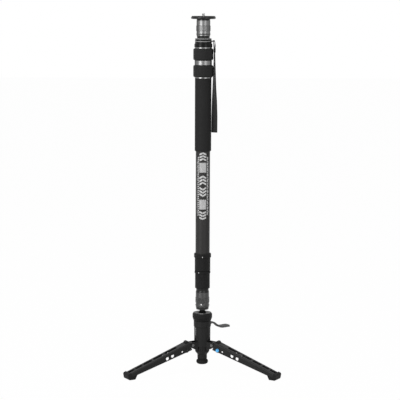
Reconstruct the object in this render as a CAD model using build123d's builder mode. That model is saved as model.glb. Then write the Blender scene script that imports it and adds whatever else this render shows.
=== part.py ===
from build123d import *
from math import asin, atan, cos, degrees, radians, sin, sqrt
import os

os.makedirs("parts", exist_ok=True)

# A camera monopod that stands on a three-legged base. Millimetres, +Z up, and the
# origin is on the floor under the pole, with the legs spread and the pole closed.

# Clearances
run_gap = 0.3  # between pieces that move past each other
slip_gap = 0.08  # radial play of a shaft, bush or collet that guides
cut_over = 2.0  # how far a cutting tool runs past the face it opens
thin_gap = 0.5  # between faces that never meet

# Rubber foot under the middle of the base
foot_lift = 13.0
foot_height = 14.0
foot_radius = 13.2
foot_sole_radius = 9.0
foot_neck_radius = 10.9
foot_waist_radius = 10.3
foot_stud_radius = 4.0
foot_stud_depth = 9.0

# Ribbed nut that holds the foot and closes the housing from below
nut_neck_height = 8.0
nut_neck_radius = 10.9
nut_taper_height = 7.0
nut_height = 13.0
nut_radius = 16.1
nut_rib_count = 24
nut_groove_radius = 0.8
nut_groove_end = 1.5
nut_thread_radius = 9.0
nut_thread_length = 12.0

# Housing with the three hinge clevises
band_height = 6.5
band_radius = 18.3
housing_height = 52.2
housing_foot_radius = 18.2
housing_waist_radius = 18.5
housing_top_radius = 19.5
housing_step_height = 13.0  # of the wider top band
housing_step_slope = 2.5
housing_edge = 1.2
bore_radius = 15.5  # holds the swivel cup
brake_bore_radius = 13.0
brake_bore_floor = 18.5  # of solid housing above the hinge band
cup_ledge_drop = 8.0  # the cup's seat under the top of the housing

# Hinges: three legs, evenly spread
leg_angles = (-30.0, 90.0, 210.0)
hinge_radius = 30.0
hinge_height = 60.0
pin_radius = 2.0
pin_head_radius = 3.4
pin_head_height = 1.2
tongue_width = 12.0
cheek_thickness = 3.4
cheek_nose_radius = 5.6
cheek_foot = 13.0  # below the hinge
cheek_crown = 6.0  # above the hinge
cheek_web = 0.8  # of metal left between the band and the slot for the tongue
pocket_width = 15.5
pocket_floor_radius = 14.6
pocket_low = 1.6  # below and above the hinge
pocket_high = 14.5

# Legs: pressed channels with slots in the top and holes through the sides
leg_width = 23.0
leg_wall = 2.1
leg_top_rise = 10.2  # of the top face over the hinge pin
leg_root_height = 18.8
leg_end_height = 10.0
leg_length = 165.0  # from the pin, along the slope
leg_end_rise = 5.2  # of the leg's end over the ground, on the line through the pin
leg_root_block = 4.0
leg_edge = 3.0  # rounding of the long top edges
knuckle_radius = 5.6
slot_width = 9.2
slot_corner = 2.2
slot_start_shares = (0.221, 0.445, 0.624, 0.780, 0.906)  # of the leg's length
slot_end_shares = (0.412, 0.597, 0.758, 0.887, 1.02)
side_hole_shares = (0.339, 0.424)
side_hole_radius = 4.0
side_hole_height = 0.5
small_hole_place = 30.3
small_hole_radius = 2.1
small_hole_height = -1.6

# Rubber boots on the legs' ends
boot_hold = 13.0  # of the leg inside the boot
boot_cap = 7.5  # beyond the leg's end
boot_skin = 0.8
boot_sole_length = 16.0
boot_nose_radius = 4.0
boot_sole_edge = 3.0

# Latch in each leg's root: a blue button, a rocker and its nose on top
button_place = 18.7
button_height = -3.3
button_radius = 3.9
button_head = 3.0  # proud of the leg
button_seat = 2.0  # of the head inside the wall
button_end = 1.4  # of the shaft, proud of the far wall
button_shaft_radius = 1.8
button_boss_radius = 5.3
button_boss_rise = 0.5
button_edge = 0.6
latch_pivot_place = 14.5
latch_pivot_height = 2.6
latch_pivot_radius = 1.4
latch_width = 11.0
latch_nose_start = 5.7
latch_nose_end = 12.4
latch_nose_foot = 6.5
latch_nose_rise = 3.6  # over the top face
latch_nose_edge = 2.0
latch_hub_radius = 3.3
latch_eye_radius = 4.3
latch_eye_bore = 3.0
latch_slot_foot = 2.5
latch_slot_start = 3.8
latch_slot_end = 13.4

# Pedal that frees the tilt
pedal_angle = 30.0
pedal_pivot_radius = 17.3
pedal_pivot_drop = 12.2  # under the top of the housing
pedal_pin_radius = 1.1
pedal_boss_radius = 2.6
pedal_arm_width = 7.0
pedal_window_height = 11.0
pedal_thickness = 4.0
pedal_arm_line = (  # reach and rise of its middle
    (25.0, 4.4),
    (31.0, 2.2),
    (36.5, -2.4),
    (42.5, -6.0),
    (51.0, -7.4),
    (60.0, -7.0),
    (70.0, -7.6),
)
pedal_pad_start = 38.0
pedal_pad_end = 70.0
pedal_pad_width = 17.0
pedal_pad_corner = 5.0
pedal_finger_tip = 7.0  # from the axis
pedal_finger_height = 2.4
relief_radius = 16.3  # of the hollow for the finger inside the housing
relief_drop = 13.5  # under the pivot

# Brake under the ball
plunger_radius = 5.2
plunger_collar_radius = 8.6
plunger_collar_height = 2.0
plunger_travel = 1.0
plunger_guide_depth = 8.0
disc_outer = 11.5
disc_inner = 6.0
disc_thickness = 0.8
disc_cone = 0.9
disc_count = 6

# Ball, swivel cup and tension ring
ball_radius = 13.0
ball_sink = 8.0  # of its centre under the top of the ring
ball_stem_radius = 6.3
ball_stem_show = 7.5
ball_tilt = 20.0
stem_thread_radius = 4.8
stem_thread_length = 12.0
cup_hole_radius = 6.2
cup_rim = 1.5  # under the ball's centre
ring_gap = 0.5
ring_height = 17.8
ring_core_radius = 19.4
ring_flat_radius = 18.8
ring_slope = 0.6
ring_grip_radius = 22.25
ring_grip_edge = 3.2
ring_grip_rim = 1.0
neck_thread_radius = 17.3  # of the housing's neck that the ring turns on
neck_thread_height = 6.3

# Quick coupling, used at the foot of the pole and under the camera plate
collar_height = 5.0
collar_foot_radius = 13.9
collar_radius = 14.7
thread_band_radius = 12.4
thread_band_height = 9.0
spigot_radius = 9.6
spigot_gap = 2.7  # under the floor of the socket
spigot_edge = 1.2
socket_radius = 12.4
socket_floor = 6.0
sleeve_height = 34.7
sleeve_radius = 15.1
sleeve_knurl_radius = 15.8
sleeve_lip_radius = 16.3
sleeve_lip_height = 4.2
sleeve_lip_width = 1.2
sleeve_knurl_low = 11.2
sleeve_knurl_high = 22.4
sleeve_edge = 0.5
snap_place = 14.0
snap_height = 1.2
snap_rise = 0.6

# Telescopic tubes
outer_tube_radius = 16.0
middle_tube_radius = 14.0
inner_tube_radius = 12.0
tube_wall = 1.2
tube_travel = 330.0
tube_overlap = 64.0  # what stays inside when it is drawn out
socket_flange_height = 3.6
socket_neck_radius = 14.1
socket_neck_height = 4.4
socket_plug_length = 14.0
bush_height = 20.0
bush_lip = 2.0
bush_bore_radius = 6.0

# Twist collars with their collets
low_collar_sleeve = 34.9
low_collar_radius = 16.7
low_collar_flange = 4.8
low_collar_flange_radius = 17.85
high_collar_sleeve = 31.1
high_collar_radius = 17.5
high_collar_flange = 8.7
high_collar_flange_radius = 19.2
collar_lip = 3.0
collet_height = 15.0
collet_wall = 1.1
collet_foot_wall = 0.7
collet_slit = 1.2
collet_slit_count = 6
collet_slit_end = 3.0
collar_edge = 0.9

# Grip, rings and knobs up the outer tube
tube_bare = 231.7
grip_length = 162.7
grip_radius = 18.35
grip_edge = 1.5
trim_height = 2.2
trim_radius = 18.9
knob_length = 26.6
knob_radius = 22.25
knob_edge = 3.4
mid_ring_height = 10.6
mid_ring_radius = 19.1
mid_ring_edge = 0.8
cap_low_height = 8.3
cap_low_radius = 20.0
cap_high_height = 11.5
cap_high_radius = 18.6
cap_groove_height = 4.6
cap_groove_width = 1.6
cap_groove_depth = 0.5
cap_edge = 1.2
cap_plug_length = 9.0

# Height lock: the knob turns a rod and the tube that slides on it
knob_turn = 60.0
rod_radius = 3.0
rod_gap = 37.5  # over the plug in the foot of the inner tube
rod_sides = 6
rod_boss_radius = 8.0
rod_boss_height = 12.0
cross_pin_radius = 2.0
cross_pin_reach = 19.5
lock_tube_radius = 4.6
lock_tube_length = 350.0
lock_flange_radius = 8.0
lock_flange_height = 3.0
window_margin = 12.0  # degrees beyond the turn
half_turn = 180.0  # between the two windows

# Wrist strap on its eyelet
eyelet_wire = 1.0
eyelet_reach = 23.4
eyelet_root = 14.0
eyelet_place = 5.0  # over the foot of the cap's neck
strap_width = 15.0
strap_thickness = 1.4
strap_gap = 1.1  # off the knobs
strap_places = (-6.0, -43.5, -80.0, -104.0, -132.0, -168.0, -203.0)  # from the eyelet
strap_turns = (0.0, 6.0, 15.0, 20.0, 36.0, 50.0, 52.0)  # degrees
strap_sways = (0.0, 0.2, 0.45, 0.55, 0.65, 0.85, 0.65)  # out from the line beside the knobs

# Camera plate
neck_height = 2.4
neck_radius = 15.0
plate_height = 4.6
plate_radius = 27.5
plate_edge = 0.8
plate_lip = 1.4
pad_height = 1.8
pad_radius = 26.2
pad_hole_radius = 6.0
stud_radius = 3.175
stud_height = 6.5
stud_edge = 0.6
stud_head_radius = 5.6
stud_head_height = 3.0
stud_shank_radius = 4.4

# Heights, each on top of the last
nut_foot = foot_lift + foot_height
taper_foot = nut_foot + nut_neck_height
rib_foot = taper_foot + nut_taper_height
band_foot = rib_foot + nut_height
housing_foot = band_foot + band_height
housing_top = housing_foot + housing_height
ring_foot = housing_top + ring_gap
ring_top = ring_foot + ring_height
ball_centre = ring_top - ball_sink
collar_foot = ring_top + ball_stem_show
low_joint = collar_foot + collar_height
socket_flange_foot = low_joint + sleeve_height + run_gap
socket_neck_foot = socket_flange_foot + socket_flange_height
inner_tube_foot = socket_neck_foot + socket_neck_height
low_collar_foot = inner_tube_foot + run_gap
low_flange_foot = low_collar_foot + low_collar_sleeve
low_collar_top = low_flange_foot + low_collar_flange
high_collar_foot = low_collar_top + run_gap
high_flange_foot = high_collar_foot + high_collar_sleeve
high_collar_top = high_flange_foot + high_collar_flange
grip_foot = high_collar_top + tube_bare
grip_top = grip_foot + grip_length
hold_foot = grip_top + trim_height
mid_ring_foot = hold_foot + knob_length
knob_foot = mid_ring_foot + mid_ring_height + run_gap
upper_trim_foot = knob_foot + knob_length - run_gap
cap_foot = upper_trim_foot + trim_height
cap_neck_foot = cap_foot + cap_low_height
cap_top = cap_neck_foot + cap_high_height
high_joint = cap_top + collar_height
neck_foot = high_joint + sleeve_height + run_gap
plate_foot = neck_foot + neck_height
pad_foot = plate_foot + plate_height
pad_top = pad_foot + pad_height
stud_top = pad_top + stud_height


def save(piece, label):
    """Names one sub-part and writes it."""
    piece.part.label = label
    export_step(piece.part, f"parts/{label}.step")
    return piece


def turned(points):
    """A solid of revolution about Z from (radius, height) points."""
    with BuildPart() as piece:
        with BuildSketch(Plane.XZ):
            with BuildLine():
                Polyline(*points, close=True)
            make_face()
        revolve(axis=Axis.Z)
    return piece


def pipe(outer, inner, low, high):
    """A plain turned sleeve."""
    return turned([(inner, low), (outer, low), (outer, high), (inner, high)])


def side_plane(angle, radius=0.0, height=0.0, slope=0.0):
    """An upright plane through the pole at an angle: x runs outwards and down the slope."""
    a, s = radians(angle), radians(slope)
    return Plane(
        origin=(radius * cos(a), radius * sin(a), height),
        x_dir=(cos(a) * cos(s), sin(a) * cos(s), -sin(s)),
        z_dir=(sin(a), -cos(a), 0),
    )


# Centre foot: a flared rubber boot on a steel stud
with BuildPart() as centre_foot:
    with BuildSketch(Plane.XZ):
        with BuildLine():
            Line((0, foot_lift), (foot_sole_radius, foot_lift))
            ThreePointArc(
                (foot_sole_radius, foot_lift),
                (foot_radius, foot_lift + foot_height / 2),
                (foot_waist_radius, nut_foot - foot_height / 4),
            )
            Line((foot_waist_radius, nut_foot - foot_height / 4), (foot_neck_radius, nut_foot))
            Line((foot_neck_radius, nut_foot), (0, nut_foot))
            Line((0, nut_foot), (0, foot_lift))
        make_face()
    revolve(axis=Axis.Z)
    with BuildSketch(Plane.XY.offset(nut_foot)):
        Circle(foot_stud_radius)
    extrude(amount=-foot_stud_depth, mode=Mode.SUBTRACT)
save(centre_foot, "centre_foot")

with BuildPart() as foot_stud:
    with BuildSketch(Plane.XY.offset(nut_foot - foot_stud_depth)):
        Circle(foot_stud_radius)
    extrude(amount=2 * foot_stud_depth)
    chamfer(foot_stud.edges().group_by(Axis.Z)[-1], pin_head_height / 2)
save(foot_stud, "foot_stud")

# Ribbed nut: grooves round its wide part, a neck below and a thread up into the housing
thread_top = band_foot + nut_thread_length
with BuildPart() as ribbed_nut:
    with BuildSketch(Plane.XZ):
        with BuildLine():
            Polyline(
                (0, nut_foot),
                (nut_neck_radius, nut_foot),
                (nut_neck_radius, taper_foot),
                (nut_radius, rib_foot),
                (nut_radius, band_foot),
                (nut_thread_radius, band_foot),
                (nut_thread_radius, thread_top),
                (0, thread_top),
                close=True,
            )
        make_face()
    revolve(axis=Axis.Z)
    with BuildSketch(Plane.XY.offset(rib_foot + nut_groove_end)):
        with PolarLocations(nut_radius, nut_rib_count):
            Circle(nut_groove_radius)
    extrude(amount=nut_height - 2 * nut_groove_end, mode=Mode.SUBTRACT)
    with BuildSketch(Plane.XY.offset(nut_foot)):
        Circle(foot_stud_radius)
    extrude(amount=foot_stud_depth, mode=Mode.SUBTRACT)
save(ribbed_nut, "ribbed_nut")

# Housing: a waisted shell with a stepped bore, a clevis and a pocket for each leg,
# and a window for the pedal
cup_seat = housing_top - cup_ledge_drop
brake_floor = housing_foot + brake_bore_floor
step_foot = housing_top - housing_step_height
pivot_height = housing_top - pedal_pivot_drop
cheek_offset = tongue_width / 2 + run_gap
hinge_reach = hinge_radius + cheek_nose_radius
cheek_low = hinge_height - cheek_foot
cheek_high = hinge_height + cheek_crown
with BuildPart() as base_housing:
    with BuildSketch(Plane.XZ):
        with BuildLine():
            Polyline(
                (0, thread_top),
                (nut_thread_radius, thread_top),
                (nut_thread_radius, band_foot),
                (band_radius, band_foot),
                (band_radius, housing_foot),
                (housing_foot_radius, housing_foot),
                (housing_waist_radius, step_foot - housing_step_slope),
                (housing_top_radius, step_foot),
                (housing_top_radius, housing_top - housing_edge),
                (housing_top_radius - housing_edge, housing_top),
                (neck_thread_radius, housing_top),
                (neck_thread_radius, housing_top + neck_thread_height),
                (bore_radius, housing_top + neck_thread_height),
                (bore_radius, cup_seat),
                (brake_bore_radius, cup_seat),
                (brake_bore_radius, brake_floor),
                (plunger_radius + slip_gap, brake_floor),
                (plunger_radius + slip_gap, brake_floor - plunger_guide_depth),
                (0, brake_floor - plunger_guide_depth),
                close=True,
            )
        make_face()
    revolve(axis=Axis.Z)
    for angle in leg_angles:
        with BuildSketch(side_plane(angle)):
            with BuildLine():
                Polyline(
                    (brake_bore_radius, band_foot),
                    (nut_radius + run_gap, band_foot),
                    (nut_radius + run_gap, cheek_low),
                    (band_radius, cheek_low),
                    (hinge_radius, hinge_height - cheek_nose_radius),
                    (hinge_radius, cheek_high - run_gap),
                    (housing_foot_radius, cheek_high + run_gap),
                    (brake_bore_radius, cheek_high + run_gap),
                    close=True,
                )
            make_face()
            with Locations((hinge_radius, hinge_height)):
                Circle(cheek_nose_radius)
        extrude(amount=cheek_offset + cheek_thickness, both=True)
        # the slot between the cheeks
        with BuildSketch(side_plane(angle)):
            with Locations((band_radius + cheek_web, hinge_height)):
                Rectangle(
                    hinge_reach, 2 * cheek_foot + cut_over, align=(Align.MIN, Align.CENTER)
                )
        extrude(amount=cheek_offset, both=True, mode=Mode.SUBTRACT)
        with BuildSketch(side_plane(angle)):
            with Locations((hinge_radius, hinge_height)):
                Circle(pin_radius)
        extrude(amount=hinge_reach, both=True, mode=Mode.SUBTRACT)
        # the pocket that takes the latch nose when the leg is folded up
        with BuildSketch(side_plane(angle)):
            with Locations((pocket_floor_radius, hinge_height + pocket_low)):
                Rectangle(
                    housing_top_radius, pocket_high - pocket_low, align=(Align.MIN, Align.MIN)
                )
        extrude(amount=pocket_width / 2, both=True, mode=Mode.SUBTRACT)
    # window, pivot hole and inner hollow of the pedal
    with BuildSketch(side_plane(pedal_angle)):
        with Locations((0, pivot_height)):
            Rectangle(
                housing_top_radius + cut_over,
                pedal_window_height,
                align=(Align.MIN, Align.CENTER),
            )
        with Locations((0, pivot_height)):
            Rectangle(relief_radius, relief_drop, align=(Align.MIN, Align.MAX))
    extrude(amount=pedal_arm_width / 2 + run_gap, both=True, mode=Mode.SUBTRACT)
    with BuildSketch(side_plane(pedal_angle)):
        with Locations((pedal_pivot_radius, pivot_height)):
            Circle(pedal_pin_radius)
    extrude(amount=pedal_arm_width - pedal_pin_radius, both=True, mode=Mode.SUBTRACT)
save(base_housing, "base_housing")


# Hinge pins with their flat heads
with BuildPart() as hinge_pins:
    for angle in leg_angles:
        with BuildSketch(side_plane(angle, hinge_radius, hinge_height)):
            Circle(pin_radius)
        extrude(amount=cheek_offset + cheek_thickness, both=True)
        for side in (1, -1):
            face = side_plane(angle, hinge_radius, hinge_height)
            with BuildSketch(face.offset(side * (cheek_offset + cheek_thickness))):
                Circle(pin_head_radius)
            extrude(amount=side * pin_head_height)
save(hinge_pins, "hinge_pins")

# Legs
leg_root_start = cheek_nose_radius + run_gap
leg_half = leg_width / 2
leg_slope = degrees(asin((hinge_height - leg_end_rise) / leg_length))  # of the top face
leg_taper = (leg_root_height - leg_end_height) / leg_length


def leg_plane(angle):
    """The mid plane of a leg: x runs down its top face, y stands on that face."""
    return side_plane(angle, hinge_radius, hinge_height, leg_slope)


def leg_bottom(along):
    """How high the leg's lower edge is over the line through the pin."""
    return leg_top_rise - leg_root_height + leg_taper * along


def beside_leg(along, above):
    """The distance from the pole and the height of a point given in the leg's own lines."""
    s = radians(leg_slope)
    return (
        hinge_radius + along * cos(s) + above * sin(s),
        hinge_height - along * sin(s) + above * cos(s),
    )


def make_leg(angle):
    """A channel open below, with a tongue round the pin, slots, holes and bosses."""
    middle = leg_plane(angle)
    top = Plane(origin=middle.origin, x_dir=middle.x_dir, z_dir=middle.y_dir).offset(leg_top_rise)
    block_end = leg_root_start + leg_root_block
    with BuildPart() as leg:
        with BuildSketch(middle):
            with BuildLine():
                Polyline(
                    (leg_root_start, leg_bottom(leg_root_start)),
                    (leg_length, leg_bottom(leg_length)),
                    (leg_length, leg_top_rise),
                    (leg_root_start, leg_top_rise),
                    close=True,
                )
            make_face()
        extrude(amount=leg_half, both=True)
        top_edges = leg.edges().filter_by(lambda e: e.length > leg_length / 2)
        fillet(top_edges.sort_by(lambda e: middle.to_local_coords(e.center()).Y)[-2:], leg_edge)
        # the hollow of the channel
        with BuildSketch(middle):
            with BuildLine():
                Polyline(
                    (block_end, leg_bottom(block_end) - cut_over),
                    (leg_length + cut_over, leg_bottom(leg_length) - cut_over),
                    (leg_length + cut_over, leg_top_rise - leg_wall),
                    (block_end, leg_top_rise - leg_wall),
                    close=True,
                )
            make_face()
        extrude(amount=leg_half - leg_wall, both=True, mode=Mode.SUBTRACT)
        with BuildSketch(top):
            for start, end in zip(slot_start_shares, slot_end_shares):
                with Locations((leg_length * (start + end) / 2, 0)):
                    RectangleRounded(leg_length * (end - start), slot_width, slot_corner)
        extrude(amount=-leg_wall - cut_over, mode=Mode.SUBTRACT)
        # bosses round the button and its shaft
        with BuildSketch(middle.offset(leg_half - leg_wall)):
            with Locations((button_place, button_height)):
                Circle(button_boss_radius)
        extrude(amount=leg_wall + button_boss_rise)
        with BuildSketch(middle.offset(leg_wall - leg_half)):
            with Locations((button_place, button_height)):
                Circle(button_boss_radius)
        extrude(amount=-leg_wall - button_boss_rise)
        with BuildSketch(middle):
            with Locations((button_place, button_height)):
                Circle(button_radius + run_gap)
        extrude(amount=leg_half + cut_over, mode=Mode.SUBTRACT)
        with BuildSketch(middle):
            with Locations((button_place, button_height)):
                Circle(button_shaft_radius + slip_gap)
            for share in side_hole_shares:
                with Locations((leg_length * share, side_hole_height)):
                    Circle(side_hole_radius)
            with Locations((small_hole_place, small_hole_height)):
                Circle(small_hole_radius)
        extrude(amount=leg_half + cut_over, both=True, mode=Mode.SUBTRACT)
        # the tongue between the cheeks, and the latch's pivot
        with BuildSketch(middle):
            Circle(knuckle_radius)
            Rectangle(block_end, 2 * knuckle_radius, align=(Align.MIN, Align.CENTER))
        extrude(amount=tongue_width / 2, both=True)
        with BuildSketch(middle):
            Circle(pin_radius + slip_gap)
        extrude(amount=tongue_width, both=True, mode=Mode.SUBTRACT)
        with BuildSketch(middle):
            with Locations((latch_slot_start, latch_slot_foot)):
                Rectangle(
                    latch_slot_end - latch_slot_start,
                    leg_top_rise,
                    align=(Align.MIN, Align.MIN),
                )
        extrude(amount=latch_width / 2 + run_gap, both=True, mode=Mode.SUBTRACT)
        with BuildSketch(middle):
            with Locations((latch_pivot_place, latch_pivot_height)):
                Circle(latch_pivot_radius)
        extrude(amount=leg_half - leg_wall, both=True)
    return leg


def make_boot(angle):
    """A rubber boot: it closes the leg's end, runs back under it and has a flat sole."""
    boot_start = leg_length - boot_hold
    sole_middle = hinge_radius + leg_length * cos(radians(leg_slope))
    with BuildPart() as boot:
        with BuildSketch(side_plane(angle)) as outline:
            with BuildLine():
                Polyline(
                    beside_leg(leg_length, leg_top_rise + boot_skin),
                    beside_leg(leg_length + boot_cap, leg_top_rise + boot_skin),
                    (sole_middle + boot_sole_length / 2, 0),
                    (sole_middle - boot_sole_length / 2, 0),
                    beside_leg(boot_start, leg_bottom(boot_start)),
                    beside_leg(leg_length, leg_bottom(leg_length)),
                    close=True,
                )
            make_face()
            fillet(outline.vertices().sort_by(Axis.X)[-1], boot_nose_radius)
            fillet(outline.vertices().group_by(Axis.Y)[0], boot_sole_edge)
        extrude(amount=leg_half + boot_skin, both=True)
    return boot


def make_button(angle):
    """A push button: a round head in one wall of the leg and a shaft across to the other."""
    middle = leg_plane(angle)
    with BuildPart() as button:
        with BuildSketch(middle.offset(leg_half - button_seat)):
            with Locations((button_place, button_height)):
                Circle(button_radius)
        extrude(amount=button_seat + button_head)
        chamfer(button.edges().group_by(Axis(middle.origin, middle.z_dir))[-1], button_edge)
        with BuildSketch(middle.offset(-leg_half - button_boss_rise - button_end)):
            with Locations((button_place, button_height)):
                Circle(button_shaft_radius)
        extrude(amount=leg_width + button_boss_rise + button_end - button_seat)
    return button


def make_latch(angle):
    """A rocker: a rounded nose over the leg's top, a hub on the pivot and an eye."""
    middle = leg_plane(angle)
    nose_top = leg_top_rise + latch_nose_rise
    with BuildPart() as latch:
        with BuildSketch(middle):
            with BuildSketch(Plane.XY) as nose:
                with BuildLine():
                    Polyline(
                        (latch_nose_start, latch_nose_foot),
                        (latch_nose_end, latch_nose_foot),
                        (latch_nose_end, nose_top),
                        (latch_nose_start, nose_top),
                        close=True,
                    )
                make_face()
                fillet(nose.vertices().group_by(Axis.Y)[-1], latch_nose_edge)
            with Locations((latch_pivot_place, latch_pivot_height)):
                Circle(latch_hub_radius)
            with Locations((button_place, button_height)):
                Circle(latch_eye_radius)
            with BuildLine():
                Polyline(
                    (latch_nose_start, latch_nose_foot),
                    (latch_nose_end, latch_nose_foot),
                    (latch_pivot_place + latch_hub_radius, latch_pivot_height),
                    (button_place + latch_eye_radius, button_height),
                    (button_place - latch_eye_radius, button_height),
                    (latch_pivot_place - latch_hub_radius, latch_pivot_height),
                    close=True,
                )
            make_face()
            with Locations((latch_pivot_place, latch_pivot_height)):
                Circle(latch_pivot_radius + slip_gap, mode=Mode.SUBTRACT)
            with Locations((button_place, button_height)):
                Circle(latch_eye_bore, mode=Mode.SUBTRACT)
        extrude(amount=latch_width / 2, both=True)
    return latch


for number, angle in enumerate(leg_angles):
    mark = "abc"[number]
    save(make_leg(angle), f"leg_{mark}")
    save(make_boot(angle), f"leg_boot_{mark}")
    save(make_button(angle), f"leg_button_{mark}")
    save(make_latch(angle), f"leg_latch_{mark}")

# Pedal: an arched arm, a flat tread, a boss on its pin and a finger into the housing
plunger_top = ball_centre - ball_radius - thin_gap - plunger_travel
collar_face = cup_seat - disc_count * (disc_thickness + disc_cone) - run_gap
finger_top = collar_face - plunger_collar_height - run_gap
finger_foot = finger_top - pedal_finger_height
finger_back = relief_radius - thin_gap
with BuildPart() as pedal:
    with BuildSketch(side_plane(pedal_angle)):
        with BuildLine() as arm_line:
            Spline(
                (pedal_pivot_radius, pivot_height),
                *[(reach, pivot_height + rise) for reach, rise in pedal_arm_line],
            )
        trace(arm_line.line, pedal_thickness)
    extrude(amount=pedal_pad_width, both=True)
    with BuildSketch(Plane.XY.rotated((0, 0, pedal_angle))):
        with Locations((pedal_pad_start, 0)):
            RectangleRounded(
                pedal_pad_end - pedal_pad_start,
                pedal_pad_width,
                pedal_pad_corner,
                align=(Align.MIN, Align.CENTER),
            )
        Rectangle(
            pedal_pad_start + pedal_pad_corner,
            pedal_arm_width,
            align=(Align.MIN, Align.CENTER),
        )
    extrude(amount=housing_top, mode=Mode.INTERSECT)
    with BuildSketch(side_plane(pedal_angle)):
        with BuildLine():
            Polyline(
                (pedal_finger_tip, finger_top),
                (pedal_finger_tip, finger_foot),
                (brake_bore_radius - thin_gap, finger_foot),
                (finger_back, finger_top),
                (finger_back, pivot_height - 2 * pedal_boss_radius),
                (pedal_pivot_radius, pivot_height - pedal_boss_radius),
                (pedal_pivot_radius - pedal_boss_radius, pivot_height),
                (brake_bore_radius + run_gap, finger_top + pedal_finger_height),
                (disc_outer, finger_top),
                close=True,
            )
        make_face()
        with Locations((pedal_pivot_radius, pivot_height)):
            Circle(pedal_boss_radius)
    extrude(amount=pedal_arm_width / 2, both=True)
    with BuildSketch(side_plane(pedal_angle)):
        with Locations((pedal_pivot_radius, pivot_height)):
            Circle(pedal_pin_radius + slip_gap)
    extrude(amount=pedal_arm_width, both=True, mode=Mode.SUBTRACT)
save(pedal, "pedal")

with BuildPart() as pedal_pin:
    with BuildSketch(side_plane(pedal_angle)):
        with Locations((pedal_pivot_radius, pivot_height)):
            Circle(pedal_pin_radius)
    extrude(amount=pedal_arm_width - pedal_pin_radius, both=True)
save(pedal_pin, "pedal_pin")

# Release plunger under the ball and the disc springs on its collar
save(
    turned(
        [
            (0, brake_floor - plunger_guide_depth + run_gap),
            (plunger_radius, brake_floor - plunger_guide_depth + run_gap),
            (plunger_radius, collar_face - plunger_collar_height),
            (plunger_collar_radius, collar_face - plunger_collar_height),
            (plunger_collar_radius, collar_face),
            (plunger_radius, collar_face),
            (plunger_radius, plunger_top),
            (0, plunger_top),
        ]
    ),
    "release_plunger",
)

with BuildPart() as disc_springs:
    for count in range(disc_count):
        foot = collar_face + run_gap + count * (disc_thickness + disc_cone)
        rise = disc_cone if count % 2 else 0
        fall = disc_cone - rise
        with BuildSketch(Plane.XZ):
            with BuildLine():
                Polyline(
                    (disc_inner, foot + rise),
                    (disc_outer, foot + fall),
                    (disc_outer, foot + fall + disc_thickness - slip_gap),
                    (disc_inner, foot + rise + disc_thickness - slip_gap),
                    close=True,
                )
            make_face()
        revolve(axis=Axis.Z)
save(disc_springs, "disc_springs")


# Swivel cup, ball and tension ring share the ball's centre
def on_ball(radius, height):
    """How far from the axis a sphere round the ball's centre is at a height."""
    return sqrt(radius**2 - (height - ball_centre) ** 2)


def at_ball(radius, turn):
    """A point of such a sphere, turned up from its equator."""
    return radius * cos(radians(turn)), ball_centre + radius * sin(radians(turn))


seat_radius = ball_radius + slip_gap
cup_rim_height = ball_centre - cup_rim
cup_floor_height = ball_centre - sqrt(seat_radius**2 - cup_hole_radius**2)
with BuildPart() as swivel_cup:
    with BuildSketch(Plane.XZ):
        with BuildLine():
            Polyline(
                (on_ball(seat_radius, cup_rim_height), cup_rim_height),
                (bore_radius - run_gap, cup_rim_height),
                (bore_radius - run_gap, cup_seat),
                (cup_hole_radius, cup_seat),
                (cup_hole_radius, cup_floor_height),
            )
            ThreePointArc(
                (cup_hole_radius, cup_floor_height),
                at_ball(seat_radius, -ball_tilt),
                (on_ball(seat_radius, cup_rim_height), cup_rim_height),
            )
        make_face()
    revolve(axis=Axis.Z)
save(swivel_cup, "swivel_cup")

with BuildPart() as tilt_ball:
    with BuildSketch(Plane.XZ):
        with BuildLine():
            stem_foot = ball_centre + sqrt(ball_radius**2 - ball_stem_radius**2)
            CenterArc((0, ball_centre), ball_radius, -90, 90 + degrees(
                atan((stem_foot - ball_centre) / ball_stem_radius)
            ))
            Polyline(
                (ball_stem_radius, stem_foot),
                (ball_stem_radius, collar_foot),
                (stem_thread_radius, collar_foot),
                (stem_thread_radius, collar_foot + stem_thread_length),
                (0, collar_foot + stem_thread_length),
                (0, ball_centre - ball_radius),
            )
        make_face()
    revolve(axis=Axis.Z)
save(tilt_ball, "tilt_ball")

lid_radius = ball_radius + run_gap
lid_foot = cup_rim_height + run_gap
with BuildPart() as tension_ring:
    with BuildSketch(Plane.XZ):
        with BuildLine():
            Polyline(
                (on_ball(lid_radius, lid_foot), lid_foot),
                (bore_radius, lid_foot),
                (bore_radius, housing_top + neck_thread_height + run_gap),
                (neck_thread_radius + slip_gap, housing_top + neck_thread_height + run_gap),
                (neck_thread_radius + slip_gap, ring_foot),
                (ring_core_radius, ring_foot),
                (ring_core_radius, ring_top - ring_slope),
                (ring_flat_radius, ring_top),
                (on_ball(lid_radius, ring_top), ring_top),
            )
            ThreePointArc(
                (on_ball(lid_radius, ring_top), ring_top),
                at_ball(lid_radius, ball_tilt),
                (on_ball(lid_radius, lid_foot), lid_foot),
            )
        make_face()
    revolve(axis=Axis.Z)
save(tension_ring, "tension_ring")

with BuildPart() as ring_grip:
    with BuildSketch(Plane.XZ) as outline:
        with BuildLine():
            Polyline(
                (ring_core_radius, ring_foot),
                (ring_core_radius + thin_gap, ring_foot),
                (ring_grip_radius, ring_foot + 2 * ring_grip_edge),
                (ring_grip_radius, ring_top - ring_slope - ring_grip_edge),
                (ring_core_radius + ring_grip_rim, ring_top - ring_slope),
                (ring_core_radius, ring_top - ring_slope),
                close=True,
            )
        make_face()
        fillet(outline.vertices().group_by(Axis.X)[-1], ring_grip_edge)
    revolve(axis=Axis.Z)
save(ring_grip, "ring_grip")


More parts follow.
